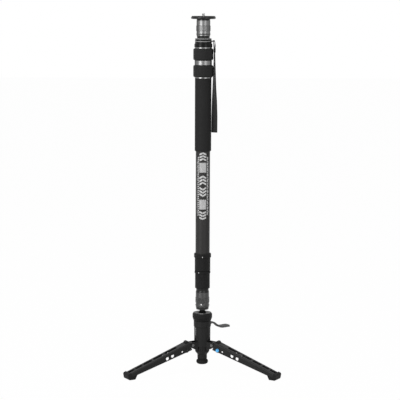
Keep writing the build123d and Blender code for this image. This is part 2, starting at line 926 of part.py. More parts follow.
# Quick couplings
def make_spigot(joint):
    """The lower half of a coupling: a collar, a threaded band and a plain spigot."""
    foot = joint - collar_height
    top = joint + sleeve_height - socket_floor - spigot_gap
    with BuildPart() as spigot:
        with BuildSketch(Plane.XZ):
            with BuildLine():
                Polyline(
                    (0, foot),
                    (collar_foot_radius, foot),
                    (collar_radius, joint),
                    (thread_band_radius, joint),
                    (thread_band_radius, joint + thread_band_height),
                    (spigot_radius, joint + thread_band_height),
                    (spigot_radius, top - spigot_edge),
                    (spigot_radius - spigot_edge, top),
                    (0, top),
                    close=True,
                )
            make_face()
        revolve(axis=Axis.Z)
        with BuildSketch(Plane.XY.offset(foot)):
            Circle(stem_thread_radius)
        extrude(amount=stem_thread_length, mode=Mode.SUBTRACT)
    return spigot


def make_sleeve(joint):
    """The knurled lock sleeve of a coupling, with its sharp lip near the foot."""
    foot = joint + run_gap
    bore = thread_band_radius + run_gap
    low = joint + snap_place - run_gap
    high = joint + snap_place + snap_height + run_gap
    lip = joint + sleeve_lip_height
    return turned(
        [
            (bore, foot),
            (sleeve_radius - sleeve_edge, foot),
            (sleeve_radius, foot + sleeve_edge),
            (sleeve_radius, lip - sleeve_lip_width),
            (sleeve_lip_radius, lip),
            (sleeve_radius, lip + sleeve_lip_width),
            (sleeve_radius, joint + sleeve_knurl_low - sleeve_edge),
            (sleeve_knurl_radius, joint + sleeve_knurl_low),
            (sleeve_knurl_radius, joint + sleeve_knurl_high),
            (sleeve_radius, joint + sleeve_knurl_high + sleeve_edge),
            (sleeve_radius, joint + sleeve_height - sleeve_edge),
            (sleeve_radius - sleeve_edge, joint + sleeve_height),
            (bore, joint + sleeve_height),
            (bore, high),
            (bore + snap_rise, high),
            (bore + snap_rise, low),
            (bore, low),
        ]
    )


def socket_points(joint):
    """The part of a socket that a sleeve hides: a bore, a rim and a snap ring."""
    snap = joint + snap_place
    foot = joint + thread_band_height + run_gap
    return [
        (0, joint + sleeve_height - socket_floor),
        (spigot_radius + run_gap, joint + sleeve_height - socket_floor),
        (spigot_radius + run_gap, foot),
        (socket_radius, foot),
        (socket_radius, snap),
        (socket_radius + snap_rise, snap),
        (socket_radius + snap_rise, snap + snap_height),
        (socket_radius, snap + snap_height),
    ]


save(make_spigot(low_joint), "base_plug")
save(make_sleeve(low_joint), "lower_sleeve")
save(
    turned(
        socket_points(low_joint)
        + [
            (socket_radius, socket_flange_foot),
            (sleeve_radius, socket_flange_foot),
            (socket_neck_radius, socket_neck_foot),
            (socket_neck_radius, inner_tube_foot),
            (inner_tube_radius - tube_wall, inner_tube_foot),
            (inner_tube_radius - tube_wall, inner_tube_foot + socket_plug_length),
            (0, inner_tube_foot + socket_plug_length),
        ]
    ),
    "pole_socket",
)

# Telescopic tubes, each with a collet at its foot and a guide bush on its head
middle_tube_foot = low_collar_foot + collar_lip + run_gap + collet_height
outer_tube_foot = high_collar_foot + collar_lip + run_gap + collet_height
inner_tube_top = middle_tube_foot + tube_travel + tube_overlap
middle_tube_top = outer_tube_foot + tube_travel + tube_overlap
outer_tube_top = cap_foot + cap_plug_length
cross_pin_height = knob_foot + knob_length / 2
middle_bore = middle_tube_radius - tube_wall
inner_bore = inner_tube_radius - tube_wall
outer_bore = outer_tube_radius - tube_wall
save(pipe(inner_tube_radius, inner_bore, inner_tube_foot, inner_tube_top), "inner_tube")
save(pipe(middle_tube_radius, middle_bore, middle_tube_foot, middle_tube_top), "middle_tube")

window_turn = knob_turn + 2 * window_margin
with BuildPart() as outer_tube:
    with BuildSketch(Plane.XY.offset(outer_tube_foot)):
        Circle(outer_tube_radius)
        Circle(outer_bore, mode=Mode.SUBTRACT)
    extrude(amount=outer_tube_top - outer_tube_foot)
    # two windows that let the knob's cross pin turn
    with BuildSketch(Plane.XY.offset(cross_pin_height)):
        for start in (-window_margin, half_turn - window_margin):
            a, b = radians(start), radians(start + window_turn)
            far = outer_tube_radius * sqrt(2)
            with BuildLine():
                Line((0, 0), (far * cos(a), far * sin(a)))
                ThreePointArc(
                    (far * cos(a), far * sin(a)),
                    (far * cos((a + b) / 2), far * sin((a + b) / 2)),
                    (far * cos(b), far * sin(b)),
                )
                Line((far * cos(b), far * sin(b)), (0, 0))
            make_face()
    extrude(amount=cross_pin_radius + run_gap, both=True, mode=Mode.SUBTRACT)
save(outer_tube, "outer_tube")


def make_bush(tube_radius, bore, outer_radius, head, middle_bore_radius):
    """A guide bush: a skirt round the tube's head, a rim over it and a bored plug in it."""
    return turned(
        [
            (middle_bore_radius, head - bush_height / 2),
            (bore, head - bush_height / 2),
            (bore, head),
            (tube_radius, head),
            (tube_radius, head - bush_height),
            (outer_radius, head - bush_height),
            (outer_radius, head + bush_lip),
            (middle_bore_radius, head + bush_lip),
        ]
    )


save(
    make_bush(
        inner_tube_radius, inner_bore, middle_bore - slip_gap, inner_tube_top, bush_bore_radius
    ),
    "inner_bush",
)
save(
    make_bush(
        middle_tube_radius,
        middle_bore,
        outer_bore - slip_gap,
        middle_tube_top,
        lock_tube_radius + slip_gap,
    ),
    "middle_bush",
)


def make_collet(tube_radius, foot):
    """A split ring that closes on a tube, thinner towards its foot."""
    bore = tube_radius + slip_gap
    with BuildPart() as collet:
        with BuildSketch(Plane.XZ):
            with BuildLine():
                Polyline(
                    (bore, foot),
                    (bore + collet_foot_wall, foot),
                    (bore + collet_wall, foot + collet_height / 2),
                    (bore + collet_wall, foot + collet_height),
                    (bore, foot + collet_height),
                    close=True,
                )
            make_face()
        revolve(axis=Axis.Z)
        with BuildSketch(Plane.XY.offset(foot)):
            with PolarLocations(bore, collet_slit_count):
                Rectangle(2 * tube_wall + collet_wall, collet_slit)
        extrude(amount=collet_height - collet_slit_end, mode=Mode.SUBTRACT)
    return collet


def make_collar(inner_radius, outer_radius, foot, sleeve, radius, flange, flange_radius):
    """A twist collar: a lip round the thin tube, a seat for the collet, a sleeve and a flange."""
    collet_top = foot + collar_lip + run_gap + collet_height
    lip_bore = inner_radius + run_gap
    seat_bore = inner_radius + slip_gap + collet_wall + run_gap
    wide_bore = outer_radius + run_gap
    step = foot + sleeve
    return turned(
        [
            (lip_bore, foot),
            (radius - collar_edge, foot),
            (radius, foot + collar_edge),
            (radius, step - collar_edge),
            (flange_radius, step),
            (flange_radius, step + flange - collar_edge),
            (flange_radius - collar_edge, step + flange),
            (wide_bore, step + flange),
            (wide_bore, collet_top),
            (seat_bore, collet_top),
            (seat_bore, foot + collar_lip),
            (lip_bore, foot + collar_lip),
        ]
    )


save(make_collet(inner_tube_radius, low_collar_foot + collar_lip + run_gap), "lower_collet")
save(make_collet(middle_tube_radius, high_collar_foot + collar_lip + run_gap), "upper_collet")
save(
    make_collar(
        inner_tube_radius,
        middle_tube_radius,
        low_collar_foot,
        low_collar_sleeve,
        low_collar_radius,
        low_collar_flange,
        low_collar_flange_radius,
    ),
    "lower_collar",
)
save(
    make_collar(
        middle_tube_radius,
        outer_tube_radius,
        high_collar_foot,
        high_collar_sleeve,
        high_collar_radius,
        high_collar_flange,
        high_collar_flange_radius,
    ),
    "upper_collar",
)


# Grip, trim rings and the fixed ring on the outer tube
def rounded_sleeve(inner, outer, low, high, edge):
    """A sleeve with rounded outer ends."""
    with BuildPart() as piece:
        with BuildSketch(Plane.XZ) as outline:
            with BuildLine():
                Polyline((inner, low), (outer, low), (outer, high), (inner, high), close=True)
            make_face()
            fillet(outline.vertices().group_by(Axis.X)[-1], edge)
        revolve(axis=Axis.Z)
    return piece


save(rounded_sleeve(outer_tube_radius, grip_radius, grip_foot, grip_top, grip_edge), "grip")
with BuildPart() as trim_rings:
    for foot in (grip_top, upper_trim_foot):
        with BuildSketch(Plane.XY.offset(foot)):
            Circle(trim_radius)
            Circle(outer_tube_radius, mode=Mode.SUBTRACT)
        extrude(amount=trim_height)
save(trim_rings, "trim_rings")
save(
    rounded_sleeve(outer_tube_radius, knob_radius, hold_foot, mid_ring_foot, knob_edge),
    "hold_ring",
)
save(
    rounded_sleeve(
        outer_tube_radius,
        mid_ring_radius,
        mid_ring_foot,
        mid_ring_foot + mid_ring_height,
        mid_ring_edge,
    ),
    "middle_ring",
)

# Height lock: the knob, the six-sided rod with its cross pin, and the tube on the rod
with BuildPart() as lock_knob:
    with BuildSketch(Plane.XZ) as outline:
        with BuildLine():
            Polyline(
                (outer_tube_radius + run_gap, knob_foot),
                (knob_radius, knob_foot),
                (knob_radius, knob_foot + knob_length - 2 * run_gap),
                (outer_tube_radius + run_gap, knob_foot + knob_length - 2 * run_gap),
                close=True,
            )
        make_face()
        fillet(outline.vertices().group_by(Axis.X)[-1], knob_edge)
    revolve(axis=Axis.Z)
    with BuildSketch(Plane.YZ):
        with Locations((0, cross_pin_height)):
            Circle(cross_pin_radius)
    extrude(amount=cross_pin_reach, both=True, mode=Mode.SUBTRACT)
save(lock_knob, "lock_knob")

rod_boss_foot = cross_pin_height - rod_boss_height / 2
rod_foot = inner_tube_foot + socket_plug_length + rod_gap
with BuildPart() as lock_rod:
    with BuildSketch(Plane.XY.offset(rod_boss_foot)):
        Circle(rod_boss_radius)
    extrude(amount=rod_boss_height)
    with BuildSketch(Plane.XY.offset(rod_boss_foot)):
        RegularPolygon(rod_radius, rod_sides)
    extrude(amount=rod_foot - rod_boss_foot)
    with BuildSketch(Plane.YZ):
        with Locations((0, cross_pin_height)):
            Circle(cross_pin_radius)
    extrude(amount=cross_pin_reach, both=True)
save(lock_rod, "lock_rod")

lock_tube_top = middle_tube_top + bush_lip + run_gap + lock_flange_height
with BuildPart() as lock_tube:
    with BuildSketch(Plane.XY.offset(lock_tube_top)):
        Circle(lock_tube_radius)
    extrude(amount=-lock_tube_length)
    with BuildSketch(Plane.XY.offset(lock_tube_top)):
        Circle(lock_flange_radius)
    extrude(amount=-lock_flange_height)
    with BuildSketch(Plane.XY.offset(lock_tube_top)):
        RegularPolygon(rod_radius + slip_gap, rod_sides)
    extrude(amount=-lock_tube_length, mode=Mode.SUBTRACT)
save(lock_tube, "lock_tube")

# Cap on the outer tube, with a groove round its neck, two holes for the strap's eyelet
# and a thread for the upper plug
groove_foot = cap_top - cap_groove_height
bail_height = cap_neck_foot + eyelet_place
bail_half = strap_width / 2 + 2 * eyelet_wire + run_gap
with BuildPart() as head_cap:
    with BuildSketch(Plane.XZ):
        with BuildLine():
            Polyline(
                (outer_tube_radius, cap_foot),
                (cap_low_radius, cap_foot),
                (cap_low_radius, cap_neck_foot - cap_edge),
                (cap_high_radius, cap_neck_foot),
                (cap_high_radius, groove_foot),
                (cap_high_radius - cap_groove_depth, groove_foot + cap_groove_depth),
                (cap_high_radius - cap_groove_depth, groove_foot + cap_groove_width),
                (cap_high_radius, groove_foot + cap_groove_width + cap_groove_depth),
                (cap_high_radius, cap_top - cap_edge),
                (cap_high_radius - cap_edge, cap_top),
                (stem_thread_radius, cap_top),
                (stem_thread_radius, cap_top + stem_thread_length),
                (0, cap_top + stem_thread_length),
                (0, outer_tube_top),
                (outer_tube_radius, outer_tube_top),
                close=True,
            )
        make_face()
    revolve(axis=Axis.Z)
    with BuildSketch(Plane.YZ.offset(eyelet_root)):
        with Locations((bail_half, bail_height), (-bail_half, bail_height)):
            Circle(eyelet_wire)
    extrude(amount=cap_low_radius, mode=Mode.SUBTRACT)
save(head_cap, "head_cap")
save(make_spigot(high_joint), "head_plug")
save(make_sleeve(high_joint), "upper_sleeve")

# Strap eyelet: a bail of wire in the cap's neck
with BuildPart() as strap_eyelet:
    with BuildLine() as bail:
        FilletPolyline(
            (eyelet_root, -bail_half, bail_height),
            (eyelet_reach, -bail_half, bail_height),
            (eyelet_reach, bail_half, bail_height),
            (eyelet_root, bail_half, bail_height),
            radius=2 * eyelet_wire,
        )
    with BuildSketch(Plane(origin=bail.line @ 0, z_dir=bail.line % 0)):
        Circle(eyelet_wire)
    sweep()
save(strap_eyelet, "strap_eyelet")

# Wrist strap: a flat band folded over the eyelet; it hangs beside the knobs and turns
strap_fold = eyelet_wire + slip_gap + strap_thickness
strap_centre = knob_radius + strap_gap + strap_thickness
with BuildPart() as wrist_strap:
    with BuildSketch(Plane.XZ):
        with Locations((eyelet_reach, bail_height)):
            Circle(strap_fold)
    extrude(amount=strap_width / 2, both=True)
    with BuildSketch(Plane.XY.offset(bail_height)):
        with Locations((eyelet_reach, 0)):
            Rectangle(2 * strap_fold, strap_width)
    with BuildSketch(Plane.XY.offset(bail_height + strap_places[0])):
        with Locations((strap_centre, 0)):
            Rectangle(2 * strap_thickness, strap_width)
    loft()
    sections = list(zip(strap_places, strap_turns, strap_sways))
    for pair in zip(sections, sections[1:]):
        for drop, turn, sway in pair:
            with BuildSketch(Plane.XY.offset(bail_height + drop)):
                with Locations(Location((strap_centre + sway, 0, 0), (0, 0, turn))):
                    Rectangle(2 * strap_thickness, strap_width)
        loft()
    with BuildSketch(Plane.XZ):
        with Locations((eyelet_reach, bail_height)):
            Circle(eyelet_wire + slip_gap)
    extrude(amount=strap_width, both=True, mode=Mode.SUBTRACT)
save(wrist_strap, "wrist_strap")

# Camera head: socket, plate, pad and the stud that the camera screws onto
with BuildPart() as head_socket:
    with BuildSketch(Plane.XZ):
        with BuildLine():
            Polyline(
                *socket_points(high_joint),
                (socket_radius, neck_foot),
                (neck_radius, neck_foot),
                (neck_radius, plate_foot),
                (stud_head_radius, plate_foot),
                (stud_head_radius, plate_foot - stud_head_height),
                (0, plate_foot - stud_head_height),
                close=True,
            )
        make_face()
    revolve(axis=Axis.Z)
save(head_socket, "head_socket")

save(
    turned(
        [
            (stud_shank_radius, plate_foot),
            (plate_radius - plate_lip, plate_foot),
            (plate_radius, plate_foot + plate_lip),
            (plate_radius, pad_foot - plate_edge),
            (plate_radius - plate_edge, pad_foot),
            (stud_shank_radius, pad_foot),
        ]
    ),
    "camera_plate",
)
save(
    turned(
        [
            (pad_hole_radius, pad_foot),
            (pad_radius, pad_foot),
            (pad_radius, pad_top - plate_edge),
            (pad_radius - plate_edge, pad_top),
            (pad_hole_radius, pad_top),
        ]
    ),
    "plate_pad",
)
save(
    turned(
        [
            (0, plate_foot - stud_head_height),
            (stud_head_radius, plate_foot - stud_head_height),
            (stud_head_radius, plate_foot),
            (stud_shank_radius, plate_foot),
            (stud_shank_radius, pad_top - run_gap),
            (stud_radius, pad_top - run_gap),
            (stud_radius, stud_top - stud_edge),
            (stud_radius - stud_edge, stud_top),
            (0, stud_top),
        ]
    ),
    "camera_stud",
)
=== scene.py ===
import math

import bmesh
import bpy
import numpy as np
from mathutils import Matrix, Vector


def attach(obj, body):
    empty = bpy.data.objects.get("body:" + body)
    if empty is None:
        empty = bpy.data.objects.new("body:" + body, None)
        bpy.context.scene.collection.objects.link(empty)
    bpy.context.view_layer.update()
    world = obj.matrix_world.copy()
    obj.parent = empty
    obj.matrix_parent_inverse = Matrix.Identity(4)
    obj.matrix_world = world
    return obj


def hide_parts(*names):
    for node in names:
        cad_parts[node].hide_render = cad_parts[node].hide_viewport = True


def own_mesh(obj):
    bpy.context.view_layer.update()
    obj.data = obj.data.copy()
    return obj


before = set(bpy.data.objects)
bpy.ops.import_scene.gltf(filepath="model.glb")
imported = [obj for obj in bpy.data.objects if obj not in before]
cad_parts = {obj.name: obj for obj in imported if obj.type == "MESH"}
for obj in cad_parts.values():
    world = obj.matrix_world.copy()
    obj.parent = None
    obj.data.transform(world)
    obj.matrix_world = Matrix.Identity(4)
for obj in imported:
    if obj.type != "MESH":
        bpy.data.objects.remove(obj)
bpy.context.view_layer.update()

mm = 0.001
print("frame loaded:", len(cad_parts), "nodes")

# Camera: far off and a little above, so the legs are seen from above and the plate edge-on
cameraValues = {
    "place": (-0.0062, -3.4, 0.85),
    "down": 7.73,  # degrees
    "roll": 0.2,  # degrees
    "lens": 137.5,
    "sensor": 36.0,
    "farEnd": 60.0,
}
lens = bpy.data.cameras.new("photoLens")
lens.lens = cameraValues["lens"]
lens.sensor_width = cameraValues["sensor"]
lens.clip_end = cameraValues["farEnd"]
camera = bpy.data.objects.new("photoCamera", lens)
camera.location = cameraValues["place"]
camera.rotation_euler = (
    Matrix.Rotation(math.radians(90 - cameraValues["down"]), 3, "X")
    @ Matrix.Rotation(math.radians(cameraValues["roll"]), 3, "Z")
).to_euler()
bpy.context.collection.objects.link(camera)
bpy.context.scene.camera = camera
bpy.context.scene.view_settings.view_transform = "Standard"


# Mesh helpers
def putMesh(name, points, faces, materialSlots=()):
    mesh = bpy.data.meshes.new(name)
    mesh.from_pydata(points.reshape(-1, 3).tolist(), [], faces.tolist())
    for material in materialSlots:
        mesh.materials.append(material)
    mesh.polygons.foreach_set("use_smooth", np.ones(len(mesh.polygons), dtype=bool))
    piece = bpy.data.objects.new(name, mesh)
    bpy.context.collection.objects.link(piece)
    return piece


def gridFaces(rows, columns, closedRows=False, closedColumns=False):
    # one face between each pair of neighbours; a closed direction also joins last to first
    index = np.arange(rows * columns).reshape(rows, columns)
    if closedRows:
        index = np.vstack([index, index[:1]])
    if closedColumns:
        index = np.hstack([index, index[:, :1]])
    return np.stack(
        [index[:-1, :-1], index[:-1, 1:], index[1:, 1:], index[1:, :-1]], axis=-1
    ).reshape(-1, 4)


def tidyNormals(piece, mergeUnder=1e-6):
    # poles come as rows of equal points, so they are merged before the normals are worked out
    soup = bmesh.new()
    soup.from_mesh(piece.data)
    bmesh.ops.remove_doubles(soup, verts=soup.verts, dist=mergeUnder)
    bmesh.ops.recalc_face_normals(soup, faces=soup.faces)
    soup.to_mesh(piece.data)
    soup.free()


# Shader groups that several finishes share
def newGroup(name, inputs, outputs):
    group = bpy.data.node_groups.new(name, "ShaderNodeTree")
    for label, value in inputs:
        socket = group.interface.new_socket(label, in_out="INPUT", socket_type="NodeSocketFloat")
        socket.default_value = value
    for label in outputs:
        group.interface.new_socket(label, in_out="OUTPUT", socket_type="NodeSocketFloat")
    nodes = group.nodes
    return group, nodes.new("NodeGroupInput"), nodes.new("NodeGroupOutput")


def doMath(tree, operation, first, second=None, third=None):
    node = tree.nodes.new("ShaderNodeMath")
    node.operation = operation
    for place, value in enumerate((first, second, third)):
        if value is None:
            continue
        if isinstance(value, (int, float)):
            node.inputs[place].default_value = value
        else:
            tree.links.new(value, node.inputs[place])
    return node.outputs[0]


def objectAxes(tree):
    place = tree.nodes.new("ShaderNodeTexCoord").outputs["Object"]
    split = tree.nodes.new("ShaderNodeSeparateXYZ")
    tree.links.new(place, split.inputs[0])
    return place, split.outputs


def seenOutright(tree):
    # 1 for what the camera sees, straight on, in a reflection or through something clear
    path = tree.nodes.new("ShaderNodeLightPath")
    seen = doMath(tree, "MAXIMUM", path.outputs["Is Camera Ray"], path.outputs["Is Glossy Ray"])
    return doMath(tree, "MAXIMUM", seen, path.outputs["Is Transmission Ray"])


def makeGrainGroup():
    # cloudy tone and fine tooth, both from noise on the object's own coordinates
    group, given, out = newGroup(
        "surfaceGrain", [("Cloud Scale", 60.0), ("Tooth Scale", 900.0)], ["Cloud", "Tooth"]
    )
    place, _ = objectAxes(group)
    for label, scale, detail in (("Cloud", "Cloud Scale", 3.0), ("Tooth", "Tooth Scale", 2.0)):
        noise = group.nodes.new("ShaderNodeTexNoise")
        noise.inputs["Detail"].default_value = detail
        group.links.new(place, noise.inputs["Vector"])
        group.links.new(given.outputs[scale], noise.inputs["Scale"])
        group.links.new(noise.outputs["Fac"], out.inputs[label])
    return group


def makeBandGroup():
    # 1 between two heights and 0 outside them
    group, given, out = newGroup("heightBand", [("Low", 0.0), ("High", 1.0)], ["Band"])
    _, axes = objectAxes(group)
    over = doMath(group, "GREATER_THAN", axes["Z"], given.outputs["Low"])
    under = doMath(group, "LESS_THAN", axes["Z"], given.outputs["High"])
    group.links.new(doMath(group, "MULTIPLY", over, under), out.inputs["Band"])
    return group


def makeKnurlGroup():
    # two families of ridges round the pole: sine of turn times Lines, plus or minus height
    # times Lean; with no lean they fall together and make straight ribs
    group, given, out = newGroup("roundKnurl", [("Lines", 60.0), ("Lean", 0.0)], ["Ridge"])
    _, axes = objectAxes(group)
    turn = doMath(group, "ARCTAN2", axes["Y"], axes["X"])
    around = doMath(group, "MULTIPLY", turn, given.outputs["Lines"])
    up = doMath(group, "MULTIPLY", axes["Z"], given.outputs["Lean"])
    one = doMath(group, "SINE", doMath(group, "ADD", around, up))
    other = doMath(group, "SINE", doMath(group, "SUBTRACT", around, up))
    both = doMath(group, "ADD", doMath(group, "ABSOLUTE", one), doMath(group, "ABSOLUTE", other))
    group.links.new(doMath(group, "MULTIPLY", both, 0.5), out.inputs["Ridge"])
    return group


def makeThreadGroup():
    # a screw's flanks: height over pitch plus the share of a turn, folded to a zigzag
    group, given, out = newGroup("screwThread", [("Pitch", 0.0015)], ["Flank"])
    _, axes = objectAxes(group)
    turn = doMath(group, "DIVIDE", doMath(group, "ARCTAN2", axes["Y"], axes["X"]), 2 * math.pi)
    rise = doMath(group, "DIVIDE", axes["Z"], given.outputs["Pitch"])
    group.links.new(
        doMath(group, "PINGPONG", doMath(group, "SUBTRACT", rise, turn), 0.5), out.inputs["Flank"]
    )
    return group


def makeSideGroup():
    # 1 where a point lies further along a level direction than a limit
    group, given, out = newGroup("levelSide", [("Turn", 0.0), ("Limit", 0.0)], ["Side"])
    _, axes = objectAxes(group)
    along = doMath(group, "MULTIPLY", axes["X"], doMath(group, "COSINE", given.outputs["Turn"]))
    beside = doMath(group, "MULTIPLY", axes["Y"], doMath(group, "SINE", given.outputs["Turn"]))
    reach = doMath(group, "ADD", along, beside)
    group.links.new(
        doMath(group, "GREATER_THAN", reach, given.outputs["Limit"]), out.inputs["Side"]
    )
    return group


grainGroup = makeGrainGroup()
bandGroup = makeBandGroup()
sideGroup = makeSideGroup()
knurlGroup = makeKnurlGroup()
threadGroup = makeThreadGroup()
print("shader groups made")


def useGroup(tree, group, **values):
    node = tree.nodes.new("ShaderNodeGroup")
    node.node_tree = group
    for label, value in values.items():
        node.inputs[label.replace("_", " ")].default_value = value
    return node.outputs


def makeFinish(name, tones, rough, metal=0.0, specular=0.5, grain=(60.0, 900.0), tooth=0.05,
               depth=0.00005, pattern=None, band=None, patternDepth=0.0002, patternShade=0.0,
               edge=1.0, sheen=0.0, accent=None):
    # tones are the darker and the lighter colour that the cloud mixes, and rough likewise;
    # grain is the scale of the cloud and of the tooth; a pattern is pressed in and may darken,
    # inside its band of heights only; edge tints what grazing light gives back, and under 1 on a
    # metal it is painted shade that darkens the sides of round parts; an accent is a mask and
    # the colour under it
    material = bpy.data.materials.new(name)
    material.use_nodes = True
    tree = material.node_tree
    shader = tree.nodes["Principled BSDF"]
    cloud = useGroup(tree, grainGroup, Cloud_Scale=grain[0], Tooth_Scale=grain[1])
    mix = tree.nodes.new("ShaderNodeMix")
    mix.data_type = "RGBA"
    mix.inputs["A"].default_value = (*tones[0], 1)
    mix.inputs["B"].default_value = (*tones[1], 1)
    tree.links.new(cloud["Cloud"], mix.inputs["Factor"])
    colour = mix.outputs["Result"]
    spread = tree.nodes.new("ShaderNodeMapRange")
    spread.inputs["To Min"].default_value = rough[0]
    spread.inputs["To Max"].default_value = rough[1]
    tree.links.new(cloud["Cloud"], spread.inputs["Value"])
    bump = tree.nodes.new("ShaderNodeBump")
    bump.inputs["Strength"].default_value = tooth
    bump.inputs["Distance"].default_value = depth
    tree.links.new(cloud["Tooth"], bump.inputs["Height"])
    normal = bump.outputs["Normal"]
    if pattern:
        ridge = pattern(tree)
        if band:
            inside = useGroup(tree, bandGroup, Low=band[0], High=band[1])["Band"]
            ridge = doMath(tree, "MULTIPLY", ridge, inside)
        press = tree.nodes.new("ShaderNodeBump")
        press.inputs["Strength"].default_value = 1.0
        press.inputs["Distance"].default_value = patternDepth
        tree.links.new(ridge, press.inputs["Height"])
        tree.links.new(normal, press.inputs["Normal"])
        normal = press.outputs["Normal"]
        if patternShade:
            shade = tree.nodes.new("ShaderNodeMix")
            shade.data_type = "RGBA"
            shade.blend_type = "MULTIPLY"
            tree.links.new(colour, shade.inputs["A"])
            shade.inputs["B"].default_value = (*[1 - patternShade] * 3, 1)
            tree.links.new(ridge, shade.inputs["Factor"])
            colour = shade.outputs["Result"]
    if accent:
        other = tree.nodes.new("ShaderNodeMix")
        other.data_type = "RGBA"
        tree.links.new(colour, other.inputs["A"])
        other.inputs["B"].default_value = (*accent[1], 1)
        tree.links.new(accent[0](tree), other.inputs["Factor"])
        colour = other.outputs["Result"]
    tree.links.new(colour, shader.inputs["Base Color"])
    tree.links.new(spread.outputs["Result"], shader.inputs["Roughness"])
    tree.links.new(normal, shader.inputs["Normal"])
    shader.inputs["Metallic"].default_value = metal
    shader.inputs["Specular IOR Level"].default_value = specular
    # a Specular Tint under 1 darkens grazing reflections: painted shade on the turned-away sides
    # of metal parts
    shader.inputs["Specular Tint"].default_value = (edge, edge, edge, 1)
    shader.inputs["Sheen Weight"].default_value = sheen
    return material


def grey(dark, light, warm=1.0):
    return (dark * warm, dark, dark / warm), (light * warm, light, light / warm)


def knurl(lines, lean=0.0):
    return lambda tree: useGroup(tree, knurlGroup, Lines=lines, Lean=lean)["Ridge"]


def thread(pitch):
    return lambda tree: useGroup(tree, threadGroup, Pitch=pitch)["Flank"]


def bands(*spans):
    # a mask of several level bands, each from a low to a high height
    def build(tree):
        parts = [useGroup(tree, bandGroup, Low=low * mm, High=high * mm)["Band"]
                 for low, high in spans]
        total = parts[0]
        for part in parts[1:]:
            total = doMath(tree, "ADD", total, part)
        return total
    return build


def pastSide(turn, limit):
    return lambda tree: useGroup(
        tree, sideGroup, Turn=math.radians(turn), Limit=limit * mm)["Side"]


def overJoint(joint, low, high):
    return (joint + low) * mm, (joint + high) * mm


# Heights in mm that the patterns keep to
lowJoint, highJoint = 144.5, 755.0
sleeveKnurl = (11.2, 22.4)  # over the joint
plugThread = (0.0, 9.0)  # over the joint
# between these heights the cap's two rims are painted lighter grey as highlights
capRimHighlightHeights = ((742.4, 743.9), (748.0, 749.7))
buttonTurns = {"a": 240.0, "b": 0.0, "c": 120.0}  # the way that each button is pushed out
knurlLines, threadPitch = 60, 1.5
# the first tone is the grey of the cap's painted rim highlights
capRimHighlightTone, buttonShaftTone = 0.26, 0.01

